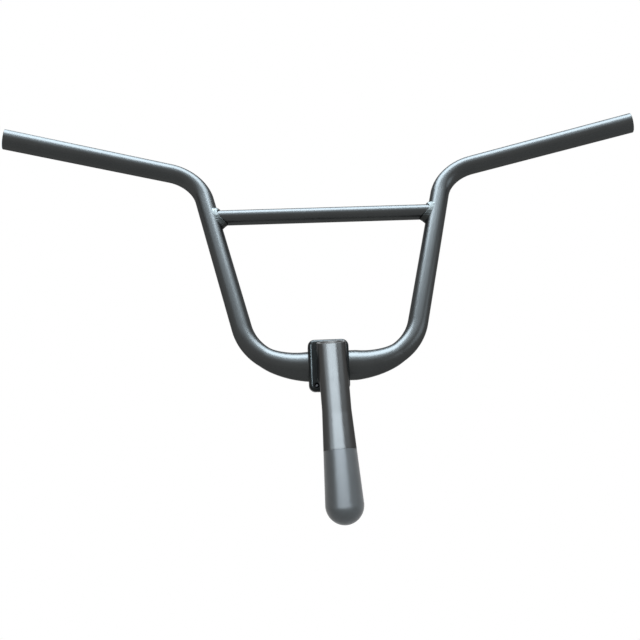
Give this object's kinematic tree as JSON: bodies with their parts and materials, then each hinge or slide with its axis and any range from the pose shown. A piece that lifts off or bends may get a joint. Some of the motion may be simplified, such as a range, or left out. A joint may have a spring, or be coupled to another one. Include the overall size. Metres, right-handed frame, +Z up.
{
  "type": "bmx handlebar with stem",
  "caption": "Bent handlebar with a welded crossbar, clamped in a stem on a flared steering post with a domed end cap.",
  "frame": {"origin": "on the steering post's axis, in the middle of its bare seat below the clamp", "axes": "+Z up the steering post, +Y forward, +X to the rider's right"},
  "size_m": [0.7161, 0.1576, 0.4453],
  "materials": {
    "bar_paint": "satin",
    "weld_paint": "satin",
    "post_paint": "satin",
    "clamp_paint": "satin",
    "bolt_steel": "satin",
    "cap_plastic": "matte"
  },
  "bodies": {
    "root": {"main_tube": "bar_paint", "crossbar": "bar_paint", "left_weld": "weld_paint", "right_weld": "weld_paint", "steering_post": "post_paint", "clamp_body": "clamp_paint", "post_weld": "clamp_paint", "face_plate": "clamp_paint", "clamp_bolts": "bolt_steel", "end_cap": "cap_plastic"}
  },
  "joints": []
}
